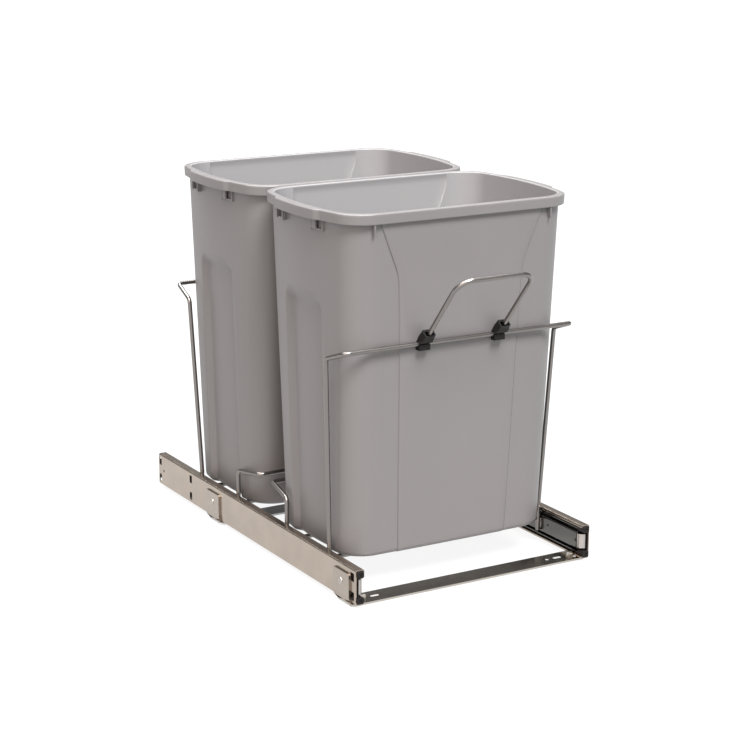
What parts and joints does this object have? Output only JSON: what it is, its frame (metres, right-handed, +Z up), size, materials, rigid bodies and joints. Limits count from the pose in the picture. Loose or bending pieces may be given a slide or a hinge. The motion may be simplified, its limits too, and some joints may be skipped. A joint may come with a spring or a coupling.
{
  "type": "pull out trash cabinet",
  "caption": "Pull-out waste unit: grey bins in a wire carriage with a fold-up handle, on full-extension ball slides joined by cross bars.",
  "frame": {"origin": "on the floor plane under the middle of the whole unit", "axes": "+X to the right facing the front, -Y out of the cabinet towards the front, +Z up"},
  "size_m": [0.362, 0.6102, 0.4815],
  "materials": {
    "zinc_sheet": "zinc plated",
    "bright_steel": "bright zinc plated",
    "nickel_wire": "frosted nickel plated",
    "grey_plastic": "moulded",
    "black_plastic": "moulded"
  },
  "bodies": {
    "base": {"cross_bar_front": "zinc_sheet", "cross_bar_rear": "zinc_sheet", "outer_member_left": "zinc_sheet", "outer_member_right": "zinc_sheet", "tab_rivet_front_left": "bright_steel", "tab_rivet_front_right": "bright_steel", "tab_rivet_rear_left": "bright_steel", "tab_rivet_rear_right": "bright_steel", "rear_buffer_left": "black_plastic", "rear_buffer_right": "black_plastic"},
    "outer_cage_left_body": {"outer_cage_left": "bright_steel"},
    "mid_member_left_body": {"mid_member_left": "bright_steel", "front_bumper_left": "black_plastic"},
    "inner_cage_left_body": {"inner_cage_left": "bright_steel"},
    "outer_cage_right_body": {"outer_cage_right": "bright_steel"},
    "mid_member_right_body": {"mid_member_right": "bright_steel", "front_bumper_right": "black_plastic"},
    "inner_cage_right_body": {"inner_cage_right": "bright_steel"},
    "carriage": {"inner_member_left": "bright_steel", "inner_member_right": "bright_steel", "tall_hoop_front": "nickel_wire", "tall_hoop_rear": "nickel_wire", "short_hoop_front": "nickel_wire", "short_hoop_rear": "nickel_wire", "bin_rod_1": "nickel_wire", "bin_rod_2": "nickel_wire", "bin_rod_3": "nickel_wire", "bin_rod_4": "nickel_wire", "clip_jaw_left": "black_plastic", "clip_jaw_right": "black_plastic"},
    "handle": {"handle_wire": "nickel_wire", "clip_socket_left": "black_plastic", "clip_socket_right": "black_plastic"},
    "front_bin_body": {"bin_front": "grey_plastic"},
    "rear_bin_body": {"bin_rear": "grey_plastic"}
  },
  "joints": [
    {"name": "carriage_slide", "type": "slide", "parent": "base", "child": "carriage", "axis": [0, -1, 0], "range_m": [0, 0.55]},
    {"name": "outer_cage_left_slide", "type": "slide", "parent": "base", "child": "outer_cage_left_body", "axis": [0, -1, 0], "range_m": [0, 0.1375]},
    {"name": "mid_member_left_slide", "type": "slide", "parent": "base", "child": "mid_member_left_body", "axis": [0, -1, 0], "range_m": [0, 0.275]},
    {"name": "inner_cage_left_slide", "type": "slide", "parent": "base", "child": "inner_cage_left_body", "axis": [0, -1, 0], "range_m": [0, 0.4125]},
    {"name": "outer_cage_right_slide", "type": "slide", "parent": "base", "child": "outer_cage_right_body", "axis": [0, -1, 0], "range_m": [0, 0.1375]},
    {"name": "mid_member_right_slide", "type": "slide", "parent": "base", "child": "mid_member_right_body", "axis": [0, -1, 0], "range_m": [0, 0.275]},
    {"name": "inner_cage_right_slide", "type": "slide", "parent": "base", "child": "inner_cage_right_body", "axis": [0, -1, 0], "range_m": [0, 0.4125]},
    {"name": "handle_fold", "type": "hinge", "parent": "carriage", "child": "handle", "pos_m": [0, -0.22295, 0.3126], "axis": [-1, 0, 0], "range_deg": [0, 30]},
    {"name": "front_bin_lift", "type": "slide", "parent": "carriage", "child": "front_bin_body", "axis": [0, 0, 1], "range_m": [0, 0.45]},
    {"name": "rear_bin_lift", "type": "slide", "parent": "carriage", "child": "rear_bin_body", "axis": [0, 0, 1], "range_m": [0, 0.45]}
  ],
  "couplings": [
    {"joint": "outer_cage_left_slide", "follows": "carriage_slide", "ratio": 0.25},
    {"joint": "mid_member_left_slide", "follows": "carriage_slide", "ratio": 0.5},
    {"joint": "inner_cage_left_slide", "follows": "carriage_slide", "ratio": 0.75},
    {"joint": "outer_cage_right_slide", "follows": "carriage_slide", "ratio": 0.25},
    {"joint": "mid_member_right_slide", "follows": "carriage_slide", "ratio": 0.5},
    {"joint": "inner_cage_right_slide", "follows": "carriage_slide", "ratio": 0.75}
  ]
}
